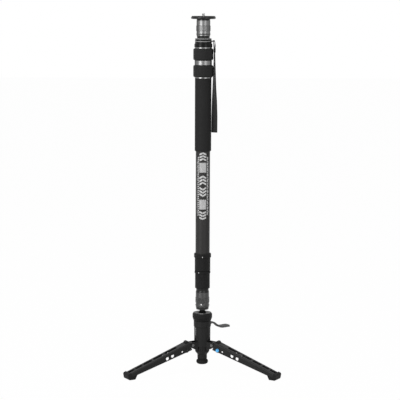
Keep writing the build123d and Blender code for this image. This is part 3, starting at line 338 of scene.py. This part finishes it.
finishValues = {
    "powderBlack": dict(tones=grey(0.010, 0.015), rough=(0.42, 0.55), specular=0.12,
                        grain=(40, 1500), tooth=0.5, depth=0.00008),
    "legBlack": dict(tones=grey(0.010, 0.015), rough=(0.42, 0.52), specular=0.14,
                     grain=(40, 1500), tooth=0.4, depth=0.00008),
    "tubeBlack": dict(tones=grey(0.026, 0.031, 1.02), rough=(0.36, 0.44), specular=0.1,
                      grain=(30, 1200), tooth=0.15),
    "gripFoam": dict(tones=grey(0.013, 0.018), rough=(0.6, 0.75), specular=0.08,
                     grain=(80, 1700), tooth=0.9, depth=0.00015),
    "knobRubber": dict(tones=grey(0.008, 0.012), rough=(0.5, 0.62), specular=0.14,
                       grain=(70, 1500), tooth=0.4, pattern=knurl(36, 1600.0),
                       patternDepth=0.0003),
    "collarRubber": dict(tones=grey(0.007, 0.010), rough=(0.45, 0.58), specular=0.1,
                         grain=(70, 1500), tooth=0.4, pattern=knurl(24),
                         patternDepth=0.0003),
    "footRubber": dict(tones=grey(0.008, 0.013), rough=(0.55, 0.7), specular=0.1,
                       grain=(90, 1500), tooth=0.7, depth=0.0001),
    "capBlack": dict(tones=grey(0.007, 0.010), rough=(0.25, 0.34), specular=0.2,
                     grain=(40, 1400), tooth=0.15),
    # head cap: black, with lighter grey bands painted over its two rims as highlights
    "capWithRimHighlights": dict(tones=grey(0.004, 0.006), rough=(0.2, 0.28), specular=0.1,
                      grain=(40, 1400), tooth=0.15,
                      accent=(bands(*capRimHighlightHeights), (capRimHighlightTone,) * 3)),
    "plugBlack": dict(tones=grey(0.010, 0.014), rough=(0.3, 0.4), specular=0.3,
                      pattern=thread(threadPitch * mm), band=overJoint(lowJoint, *plugThread),
                      patternDepth=0.0006),
    "headPlugBlack": dict(tones=grey(0.010, 0.014), rough=(0.3, 0.4), specular=0.3,
                          pattern=thread(threadPitch * mm),
                          band=overJoint(highJoint, *plugThread), patternDepth=0.0006),
    # the metals below with edge under 1 get painted shade at their grazing sides
    "sleeveBright": dict(tones=grey(0.155, 0.18), rough=(0.34, 0.40), metal=1.0,
                         grain=(40, 2200), tooth=0.1, pattern=knurl(knurlLines),
                         band=overJoint(highJoint, *sleeveKnurl),
                         patternDepth=0.00004, patternShade=0.4, edge=0.3),
    "sleeveDark": dict(tones=grey(0.065, 0.08), rough=(0.3, 0.38), metal=1.0,
                       grain=(40, 2200), tooth=0.1, pattern=knurl(knurlLines),
                       band=overJoint(lowJoint, *sleeveKnurl),
                       patternDepth=0.0003, patternShade=0.25),
    "ringSilver": dict(tones=grey(0.16, 0.19), rough=(0.32, 0.38), metal=1.0,
                       grain=(40, 2200), tooth=0.1, edge=0.4),
    "trimMetal": dict(tones=grey(0.16, 0.20), rough=(0.24, 0.3), metal=1.0,
                      grain=(40, 2200), tooth=0.1),
    "ringTop": dict(tones=grey(0.11, 0.14), rough=(0.3, 0.38), metal=1.0,
                    grain=(40, 2200), tooth=0.1, edge=0.6),
    "ballBlack": dict(tones=grey(0.005, 0.008), rough=(0.25, 0.32), specular=0.1,
                      grain=(50, 1800), tooth=0.1),
    "pedalMetal": dict(tones=grey(0.07, 0.09), rough=(0.34, 0.42), metal=1.0,
                       grain=(60, 1800), tooth=0.2, edge=0.6),
    "pinSteel": dict(tones=grey(0.10, 0.14), rough=(0.3, 0.4), metal=1.0,
                     grain=(80, 2200), tooth=0.15, edge=0.6),
    "steel": dict(tones=grey(0.46, 0.52), rough=(0.25, 0.35), metal=1.0,
                  grain=(80, 2200), tooth=0.15),
    "springSteel": dict(tones=grey(0.25, 0.32, 1.03), rough=(0.3, 0.4), metal=1.0,
                        grain=(80, 2200), tooth=0.15),
    "innerPlastic": dict(tones=grey(0.04, 0.055), rough=(0.45, 0.55), specular=0.4,
                         grain=(60, 1500), tooth=0.2),
    "rawAluminium": dict(tones=grey(0.5, 0.58), rough=(0.3, 0.42), metal=1.0,
                         grain=(50, 1800), tooth=0.15),
    "padRubber": dict(tones=grey(0.010, 0.015), rough=(0.55, 0.7), specular=0.15,
                      grain=(90, 1500), tooth=0.6, depth=0.0001),
}
for mark, turn in buttonTurns.items():
    # blue on the head only: the shaft and its far end are black
    finishValues[f"button_{mark}"] = dict(
        tones=((0.06, 0.36, 0.72), (0.09, 0.42, 0.8)), rough=(0.3, 0.36), specular=0.4,
        grain=(90, 1500), tooth=0.05,
        accent=(pastSide(turn + 180, 0.0), (buttonShaftTone,) * 3))
finishes = {name: makeFinish(name, **values) for name, values in finishValues.items()}

nodeFinish = {
    "base_housing": "powderBlack", "ribbed_nut": "powderBlack", "centre_foot": "footRubber",
    "foot_stud": "steel", "hinge_pins": "pinSteel", "pedal_pin": "steel",
    "disc_springs": "springSteel", "tension_ring": "ringTop", "ring_grip": "collarRubber",
    "swivel_cup": "innerPlastic", "tilt_ball": "ballBlack", "base_plug": "plugBlack",
    "pedal": "pedalMetal", "release_plunger": "steel", "pole_socket": "capBlack",
    "inner_tube": "tubeBlack", "inner_bush": "innerPlastic", "lower_sleeve": "sleeveDark",
    "middle_tube": "tubeBlack", "middle_bush": "innerPlastic", "lower_collet": "innerPlastic",
    "lower_collar": "collarRubber", "outer_tube": "tubeBlack", "upper_collet": "innerPlastic",
    "grip": "gripFoam", "trim_rings": "trimMetal", "hold_ring": "knobRubber",
    "middle_ring": "ringSilver", "head_cap": "capWithRimHighlights", "head_plug": "headPlugBlack",
    "strap_eyelet": "capBlack", "upper_collar": "collarRubber", "lock_knob": "knobRubber",
    "lock_rod": "steel", "lock_tube": "rawAluminium", "head_socket": "capBlack",
    "camera_plate": "capBlack", "plate_pad": "padRubber", "camera_stud": "steel",
    "upper_sleeve": "sleeveBright", "wrist_strap": "padRubber",
}
for mark in "abc":
    nodeFinish[f"leg_{mark}"] = "legBlack"
    nodeFinish[f"leg_boot_{mark}"] = "footRubber"
    nodeFinish[f"leg_button_{mark}"] = f"button_{mark}"
    nodeFinish[f"leg_latch_{mark}"] = "powderBlack"
for node, finish in nodeFinish.items():
    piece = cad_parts[node]
    piece.data.materials.clear()
    piece.data.materials.append(finishes[finish])
print("finishes given to", len(nodeFinish), "nodes")


# Print on the outer tube: small patches, each between a left and a right edge. Across, the
# values are distances from the middle line of the print; up, from its middle height
printValues = {
    "tubeRadius": 16.0,
    "lift": 0.07,
    "middle": 421.7,
    "columns": 5,  # faces across a patch
    "reach": 62.0,  # of the side columns
    "dashes": {"edges": (13.9, 14.6), "inset": 4.0, "step": 9.2, "tall": 6.4},
    "ticks": {"edges": (-12.6, -9.4), "inset": -4.0, "step": 4.6, "tall": 2.7, "lean": 1.4},
    "rungs": {"edges": (9.6, 12.6), "step": 12.4, "tall": 6.6, "shortTall": 2.6},
    "arrowEdges": (0.3, 7.8),
    "arrows": [
        # first, last, step, tall, rise
        (3.5, 24.0, 7.0, 4.2, 4.6),
        (58.0, 72.0, 6.4, 3.8, 3.2),
    ],
    "blocks": {"bars": 6, "step": 2.65, "width": 2.1, "height": 41.5, "tall": 22.0},
}


def stackPatches(left, right, heights, tall, lean=0.0):
    # patches above each other: both edges are tall high, and the right one leans up
    heights = np.asarray(heights, dtype=float)
    size = np.ones_like(heights)
    low, high = heights - tall / 2, heights + tall / 2
    return np.stack([left * size, right * size, low, high, low + lean, high + lean], axis=-1)


def arrowPatches(edges, heights, tall, rise):
    # half an arrow on either side of the middle line, with its tip there
    inner, outer = edges
    return [
        stackPatches(-outer, -inner, heights, tall, lean=rise),
        stackPatches(inner, outer, heights + rise, tall, lean=-rise),
    ]


def printPatches(values):
    reach = values["reach"]
    dashes, ticks, rungs = values["dashes"], values["ticks"], values["rungs"]

    # dashes along both borders
    near, far = dashes["edges"]
    heights = np.arange(dashes["inset"] - reach, reach - dashes["inset"] + 1, dashes["step"])
    rows = [stackPatches(-far, -near, heights, dashes["tall"]),
            stackPatches(near, far, heights, dashes["tall"])]

    # leaning ticks on the left, and a slow ladder on the right
    heights = np.arange(ticks["inset"] - reach, reach - ticks["inset"] + 1, ticks["step"])
    rows.append(stackPatches(*ticks["edges"], heights, ticks["tall"], lean=ticks["lean"]))
    heights = np.arange(-reach, reach + 1, rungs["step"])
    rows.append(stackPatches(*rungs["edges"], heights, rungs["tall"]))
    heights = heights[:-1] + rungs["step"] / 2
    rows.append(stackPatches(*rungs["edges"], heights, rungs["shortTall"]))

    # arrows away from the middle, upwards and downwards
    for first, last, step, tall, rise in values["arrows"]:
        for way in (1, -1):
            heights = way * np.arange(first, last, step)
            rows += arrowPatches(values["arrowEdges"], heights, tall, way * rise)

    # a block of upright bars over and one under the middle
    blocks = values["blocks"]
    for place in range(blocks["bars"]):
        edge = place * blocks["step"] - values["arrowEdges"][1]
        heights = [blocks["height"], -blocks["height"]]
        rows.append(stackPatches(edge, edge + blocks["width"], heights, blocks["tall"]))
    return np.concatenate(rows)


def bendPatches(name, patches, values, material):
    # across a patch the turn is arc length over radius; up it runs from the low to the high
    # edge, both blended between the left and the right side
    share = np.linspace(0, 1, values["columns"] + 1)[None, :]
    arc = patches[:, 0:1] * (1 - share) + patches[:, 1:2] * share
    low = patches[:, 2:3] * (1 - share) + patches[:, 4:5] * share
    high = patches[:, 3:4] * (1 - share) + patches[:, 5:6] * share
    turn = arc / values["tubeRadius"] - math.pi / 2
    radius = (values["tubeRadius"] + values["lift"]) * mm
    sides = [
        np.stack([radius * np.cos(turn), radius * np.sin(turn),
                  (values["middle"] + height) * mm], axis=-1)
        for height in (low, high)
    ]
    points = np.stack(sides, axis=1)  # patch, low or high, across
    count, across = len(patches), values["columns"] + 1
    first = gridFaces(2, across)
    faces = (first[None] + np.arange(count)[:, None, None] * 2 * across).reshape(-1, 4)
    return putMesh(name, points, faces, [material])


printInk = makeFinish("printInk", grey(0.40, 0.52), (0.35, 0.45), specular=0.4,
                      grain=(400, 2500), tooth=0.1)
tubePrint = bendPatches("tubePrint", printPatches(printValues), printValues, printInk)
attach(tubePrint, "outer")

# Small marks on the left of the base housing: a block over a ladder of bars
markValues = {
    "tubeRadius": 18.5,
    "lift": 0.08,
    "middle": 89.5,
    "columns": 4,
    "edges": (-20.2, -15.8),
    "block": {"height": 6.6, "tall": 3.4},
    "bars": {"low": -8.0, "high": 4.0, "step": 2.3, "tall": 1.3},
}
block, bars = markValues["block"], markValues["bars"]
barHeights = np.arange(bars["low"], bars["high"], bars["step"])
marks = np.concatenate([
    stackPatches(*markValues["edges"], [block["height"]], block["tall"]),
    stackPatches(*markValues["edges"], barHeights, bars["tall"]),
])
markInk = makeFinish("markInk", grey(0.16, 0.22), (0.4, 0.5), specular=0.3, tooth=0.1)
housingMarks = bendPatches("housingMarks", marks, markValues, markInk)
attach(housingMarks, "stand")
print("print on the tube and marks on the housing")


# Index dots on the two collars and on the lower sleeve
dotValues = {
    # radius of the face, turn in degrees, height, size, body
    "upperCollarDot": (19.25, -1.0, 261.0, 0.9, "upper_twist_collar"),
    "lowerCollarDot": (17.9, -30.0, 225.1, 0.9, "lower_twist_collar"),
    "lowerSleeveDot": (15.15, -10.0, 152.0, 1.5, "lower_lock_sleeve"),
}
dotShape = {"rings": 5, "around": 20, "bulge": 0.18, "sunk": 0.06}
dotPaint = makeFinish("dotPaint", grey(0.7, 0.8), (0.35, 0.45), specular=0.4, tooth=0.05)


def makeDot(name, radius, turn, height, size):
    # a low dome: from its middle out, the bulge falls with the square of the distance
    rings, spokes = dotShape["rings"], dotShape["around"]
    out, around = np.meshgrid(
        np.linspace(0, 1, rings), np.arange(spokes) * math.tau / spokes, indexing="ij"
    )
    arc = out * size * np.cos(around) / radius + math.radians(turn) - math.pi / 2
    lift = radius + dotShape["bulge"] * (1 - out**2) - dotShape["sunk"]
    points = np.stack(
        [lift * np.cos(arc), lift * np.sin(arc), height + out * size * np.sin(around)], axis=-1
    )
    faces = gridFaces(rings, spokes, closedColumns=True)
    piece = putMesh(name, points * mm, faces, [dotPaint])
    tidyNormals(piece)
    return piece


for name, (radius, turn, height, size, body) in dotValues.items():
    dot = makeDot(name, radius, turn, height, size)
    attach(dot, body)
print("index dots")


# Disc springs round the plunger: a stack of shallow cones, laid face to face by turns
springValues = {
    "foot": 95.5,
    "step": 1.7,  # from one cone's foot to the next one's
    "count": 6,
    "inner": 6.0,
    "outer": 11.5,
    "cone": 0.9,
    "thick": 0.72,
    "seat": 105.7,  # height of the cup that the stack is pressed against
    "travel": 1.0,  # of the plunger
    "around": 72,
}


def makeSprings(values):
    # each cone is a ring of four corners; every other one is upside down
    number = np.arange(values["count"])
    foot = values["foot"] + number * values["step"]
    rise = np.where(number % 2, values["cone"], 0.0)
    fall = values["cone"] - rise
    radius = np.array([values["inner"], values["outer"], values["outer"], values["inner"]])
    height = foot[:, None] + np.stack(
        [rise, fall, fall + values["thick"], rise + values["thick"]], axis=-1
    )
    turn = np.arange(values["around"]) * math.tau / values["around"]
    level = np.ones((values["count"], 1, 1))
    points = np.stack([
        level * (radius[:, None] * np.cos(turn)), level * (radius[:, None] * np.sin(turn)),
        np.repeat(height[:, :, None], values["around"], axis=2),
    ], axis=-1)
    ring = gridFaces(len(radius), values["around"], closedRows=True, closedColumns=True)
    ringPoints = len(radius) * values["around"]
    faces = (ring[None] + number[:, None, None] * ringPoints).reshape(-1, 4)
    piece = putMesh("springStack", points * mm, faces, [finishes["springSteel"]])
    piece.data.polygons.foreach_set("use_smooth", np.zeros(len(faces), dtype=bool))
    tidyNormals(piece)
    return piece


springStack = makeSprings(springValues)
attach(springStack, "stand")
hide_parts("disc_springs")
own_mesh(springStack)
print("disc springs")


# Camera screw with its thread cut
screwValues = {
    "major": 3.175,
    "minor": 2.45,
    "pitch": 1.27,
    "foot": 789.4,
    "headTop": 792.4,
    "headRadius": 5.6,
    "shankTop": 798.5,
    "shankRadius": 4.4,
    "top": 805.3,
    "fade": 0.9,  # height over which the thread runs out
    "point": 0.3,  # how much thinner the core is at its tip
    "crest": 1.25,  # over 1 the thread has a flat crest
    "steps": 110,
    "around": 48,
}


def makeScrew(values):
    # radius = minor + depth times a zigzag of height over pitch less the share of a turn;
    # the zigzag fades out at the top, and head and shank are plain
    plain = np.array(
        [[0, values["foot"]], [values["headRadius"], values["foot"]],
         [values["headRadius"], values["headTop"]], [values["shankRadius"], values["headTop"]],
         [values["shankRadius"], values["shankTop"]]]
    )
    heights = np.linspace(values["shankTop"], values["top"], values["steps"])
    turn = np.arange(values["around"]) * math.tau / values["around"]
    phase = (heights[:, None] - values["shankTop"]) / values["pitch"] - turn[None, :] / math.tau
    zigzag = np.clip(np.abs(2 * (phase % 1.0) - 1.0) * values["crest"], 0, 1)
    fade = np.clip((values["top"] - heights) / values["fade"], 0.0, 1.0)[:, None]
    depth = values["major"] - values["minor"]
    radius = values["minor"] - values["point"] * (1 - fade) + depth * zigzag * fade
    upper = np.stack(
        [radius * np.cos(turn), radius * np.sin(turn),
         np.repeat(heights[:, None], values["around"], axis=1)], axis=-1
    )
    lower = np.stack(
        [plain[:, :1] * np.cos(turn), plain[:, :1] * np.sin(turn),
         np.repeat(plain[:, 1:], values["around"], axis=1)], axis=-1
    )
    tip = np.zeros((1, values["around"], 3))
    tip[..., 2] = values["top"]
    points = np.concatenate([lower, upper, tip]) * mm
    piece = putMesh("cameraScrew", points,
                    gridFaces(len(points), values["around"], closedColumns=True),
                    [finishes["steel"]])
    tidyNormals(piece)
    return piece


cameraScrew = makeScrew(screwValues)
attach(cameraScrew, "head")
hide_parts("camera_stud")
print("camera screw")


# Wrist strap: one closed band of webbing over the eyelet, both runs hanging together
strapValues = {
    "wireHeight": 743.5,
    "wire": 1.0,  # its radius
    "wireGap": 0.1,
    "width": 15.0,
    "thick": 1.25,
    # the strap's turn in degrees and its distance from the pole's axis at each drop
    "drops": (0.0, 6.0, 43.5, 80.0, 104.0, 132.0, 168.0, 203.0),
    "turns": (0.0, 0.0, 6.0, 16.0, 24.0, 40.0, 56.0, 58.0),
    "reaches": (23.4, 24.75, 24.9, 24.9, 24.9, 25.2, 25.4, 25.2),
    "apart": 0.68,  # of the middle of each run from the middle of the strap
    "bow": 0.3,  # more of it half way down
    "closing": 5.0,  # drop over which the two runs come together under the wire
    "sewn": (0.8, 10.5, 5.5),  # ends sewn back: share that they add, how low, how long
    "start": 0.04,  # share of the drop at which the runs leave the wire
    "steps": 150,  # along each run
    "foldSteps": 16,
    "footSteps": 12,
    "corners": 16,  # of the cross-section
    "edgePowers": (0.35, 0.6),  # under 1 the cross-section is squarer: width, thickness
}


def roundedSection(corners, widePower, thickPower):
    # a rectangle from -1 to 1 both ways, with corners that round off as the powers grow
    corner = np.linspace(0, math.tau, corners, endpoint=False)
    wide = np.sign(np.cos(corner)) * np.abs(np.cos(corner)) ** widePower
    thick = np.sign(np.sin(corner)) * np.abs(np.sin(corner)) ** thickPower
    return wide, thick


def sewnShare(values, drop):
    # a bell curve of the drop: how much thicker each run is where the ends are sewn back
    much, low, long = values["sewn"]
    return much * np.exp(-(((drop - low) / long) ** 2))


def strapPath(values):
    # the band's middle line in its own flat plane: half a turn over the wire, a run down,
    # half a turn at the foot and a run back up; returns drop below the wire and offset
    fold = values["wire"] + values["wireGap"] + values["thick"] / 2
    foot = values["drops"][-1] - values["apart"] - values["thick"] / 2
    over = np.linspace(math.pi, 0, values["foldSteps"])
    down = np.linspace(values["start"], 1, values["steps"])
    fallen = down * foot
    spread = (
        values["apart"] * (1 + sewnShare(values, fallen))
        + (fold - values["apart"]) * np.exp(-fallen / values["closing"])
        + values["bow"] * np.sin(np.pi * down) ** 2
    )
    under = np.linspace(0, -math.pi, values["footSteps"])[1:-1]
    drop = np.concatenate([
        -fold * np.sin(over), fallen, foot - values["apart"] * np.sin(under), fallen[::-1]
    ])
    offset = np.concatenate([
        fold * np.cos(over), spread, values["apart"] * np.cos(under), -spread[::-1]
    ])
    return drop, offset


def makeStrap(values):
    # a rounded rectangle carried along the path; the whole band turns about the pole's
    # direction by an angle that grows with the drop
    drop, offset = strapPath(values)
    turn = np.radians(np.interp(drop, values["drops"], values["turns"]))
    shift = np.interp(drop, values["drops"], values["reaches"])
    across = np.stack([-np.sin(turn), np.cos(turn), 0 * turn], axis=-1)
    outward = np.stack([np.cos(turn), np.sin(turn), 0 * turn], axis=-1)
    middle = np.stack([shift, 0 * shift, values["wireHeight"] - drop], axis=-1)
    middle = middle + outward * offset[:, None]
    along = np.roll(middle, -1, axis=0) - np.roll(middle, 1, axis=0)
    along /= np.linalg.norm(along, axis=1)[:, None]
    face = np.cross(across, along)
    face /= np.linalg.norm(face, axis=1)[:, None]
    wide, thick = roundedSection(values["corners"], *values["edgePowers"])
    wide, thick = wide * values["width"] / 2, thick * values["thick"] / 2
    layers = 1 + sewnShare(values, drop)
    points = (
        middle[:, None] + across[:, None] * wide[None, :, None]
        + face[:, None] * (thick[None, :] * layers[:, None])[:, :, None]
    )
    rows, columns = points.shape[:2]
    piece = putMesh("wristStrap", points * mm,
                    gridFaces(rows, columns, closedRows=True, closedColumns=True))
    length = np.linalg.norm(np.roll(middle, -1, axis=0) - middle, axis=1)
    run = np.concatenate([[0], np.cumsum(length)])
    layer = piece.data.uv_layers.new(name="weave")
    rowIndex = np.repeat(np.arange(rows), columns)
    columnIndex = np.tile(np.arange(columns), rows)
    near, far = run[rowIndex], run[rowIndex + 1]
    left, right = wide[columnIndex], wide[(columnIndex + 1) % columns]
    # each face's four corners in the order of gridFaces: first across, then along
    uv = np.stack([near, left, near, right, far, right, far, left], axis=-1)
    layer.data.foreach_set("uv", (uv * mm).ravel())
    return piece, float(length.sum())


webbingValues = {
    "ribPitch": 1.6,  # along the strap
    "rowPitch": 2.1,  # across it
    "strength": 0.8,
    "depth": 0.3,
}


def makeWebbing(name, values):
    # a weave of ribs along the strap and rows across it, from the piece's own UV map
    material = makeFinish(name, grey(0.009, 0.014), (0.6, 0.75), specular=0.1,
                          grain=(120, 1800), tooth=0.2, sheen=0.35)
    tree = material.node_tree
    shader = tree.nodes["Principled BSDF"]
    uv = tree.nodes.new("ShaderNodeUVMap")
    uv.uv_map = "weave"
    split = tree.nodes.new("ShaderNodeSeparateXYZ")
    tree.links.new(uv.outputs[0], split.inputs[0])
    waves = [
        doMath(tree, "SINE", doMath(tree, "MULTIPLY", split.outputs[way], math.tau / pitch / mm))
        for way, pitch in (("X", values["ribPitch"]), ("Y", values["rowPitch"]))
    ]
    weave = doMath(tree, "MULTIPLY_ADD", *waves, 1.0)
    bump = tree.nodes.new("ShaderNodeBump")
    bump.inputs["Strength"].default_value = values["strength"]
    bump.inputs["Distance"].default_value = values["depth"] * mm
    tree.links.new(weave, bump.inputs["Height"])
    tree.links.new(bump.outputs["Normal"], shader.inputs["Normal"])
    return material


wristStrap, strapLength = makeStrap(strapValues)
tidyNormals(wristStrap)
wristStrap.data.materials.append(makeWebbing("strapWebbing", webbingValues))
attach(wristStrap, "outer")
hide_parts("wrist_strap")
print("wrist strap, band length", round(strapLength), "mm")


# Keeper: a short stitched sleeve that holds both runs together under the eyelet
keeperValues = {
    "middle": (24.95, 723.5),  # reach and height
    "tall": 9.5,
    "width": 16.2,
    "thick": 4.8,
    "wall": 0.5,
    "shoulder": 1.0,  # height of its turned ends
    "rim": 0.3,  # roundness of them
    "lip": 0.2,  # how deep the bore starts
    "corners": 40,
    "edgePowers": (0.3, 0.45),
}


def makeKeeper(values):
    # rings of one rounded rectangle, each with its inset and height: up the outside, in over
    # the rim, down the inside
    half, wall = values["tall"] / 2, values["wall"]
    shoulder, rim, lip = values["shoulder"], values["rim"], values["lip"]
    rings = np.array([
        (0, shoulder - half), (0, half - shoulder), (rim / 2, half - rim), (rim, half),
        (wall, half - lip), (wall, lip - half), (rim, -half), (rim / 2, rim - half),
    ])
    wide, thick = roundedSection(values["corners"], *values["edgePowers"])
    points = np.stack([
        values["middle"][0] + thick[None, :] * (values["thick"] / 2 - rings[:, :1]),
        wide[None, :] * (values["width"] / 2 - rings[:, :1]),
        values["middle"][1] + np.repeat(rings[:, 1:], values["corners"], axis=1),
    ], axis=-1)
    rows, columns = points.shape[:2]
    piece = putMesh("strapKeeper", points * mm,
                    gridFaces(rows, columns, closedRows=True, closedColumns=True),
                    [makeFinish("keeperBlack", grey(0.006, 0.009), (0.5, 0.65), specular=0.12,
                                grain=(90, 1500), tooth=0.4, depth=0.0001)])
    tidyNormals(piece)
    return piece


strapKeeper = makeKeeper(keeperValues)
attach(strapKeeper, "outer")
print("strap keeper")


# Floor, world and lamps
studioValues = {
    "floorReach": 12.0,  # from the middle, in metres
    "floorDrop": 0.0002,  # under the soles
    "floorTone": 0.8,
    "floorGlow": 0.985,  # share of plain white in what is seen of the floor
    "worldFill": 0.22,
    "aim": (0.0, 0.0, 0.45),
    "lamps": [
        # name, place, watts, width, height
        ("leftStrip", (-1.67, -1.99, 0.75), 53, 1.3, 2.0),
        ("rightStrip", (1.38, -2.2, 0.75), 20, 1.0, 2.0),
        ("topSoft", (-0.5, -0.4, 3.2), 45, 1.8, 1.8),
    ],
}


def makeFloor(values):
    material = bpy.data.materials.new("floorWhite")
    material.use_nodes = True
    tree = material.node_tree
    tree.nodes.clear()
    glow = tree.nodes.new("ShaderNodeEmission")
    glow.inputs["Strength"].default_value = 1.0
    white = tree.nodes.new("ShaderNodeBsdfDiffuse")
    white.inputs["Color"].default_value = (*[values["floorTone"]] * 3, 1)
    mix = tree.nodes.new("ShaderNodeMixShader")
    share = doMath(tree, "MULTIPLY", seenOutright(tree), values["floorGlow"])
    tree.links.new(share, mix.inputs[0])
    tree.links.new(white.outputs[0], mix.inputs[1])
    tree.links.new(glow.outputs[0], mix.inputs[2])
    out = tree.nodes.new("ShaderNodeOutputMaterial")
    tree.links.new(mix.outputs[0], out.inputs["Surface"])
    side = np.linspace(-values["floorReach"], values["floorReach"], 3)
    x, y = np.meshgrid(side, side, indexing="xy")
    points = np.stack([x, y, 0 * x - values["floorDrop"]], axis=-1)
    piece = putMesh("studioFloor", points, gridFaces(*x.shape), [material])


def makeWorld(values):
    world = bpy.data.worlds.new("studioWorld")
    bpy.context.scene.world = world
    world.use_nodes = True
    tree = world.node_tree
    back = tree.nodes["Background"]
    back.inputs["Color"].default_value = (1, 1, 1, 1)
    fill = values["worldFill"]
    strength = doMath(tree, "MULTIPLY_ADD", seenOutright(tree), 1.0 - fill, fill)
    tree.links.new(strength, back.inputs["Strength"])


def makeLamps(values):
    for name, place, watts, width, height in values["lamps"]:
        light = bpy.data.lights.new(name, "AREA")
        light.shape = "RECTANGLE"
        light.size, light.size_y = width, height
        light.energy = watts
        lamp = bpy.data.objects.new(name, light)
        lamp.location = place
        aim = Vector(values["aim"]) - Vector(place)
        lamp.rotation_euler = aim.to_track_quat("-Z", "Y").to_euler()
        bpy.context.collection.objects.link(lamp)


makeFloor(studioValues)
makeWorld(studioValues)
makeLamps(studioValues)
print("floor, world and lamps")
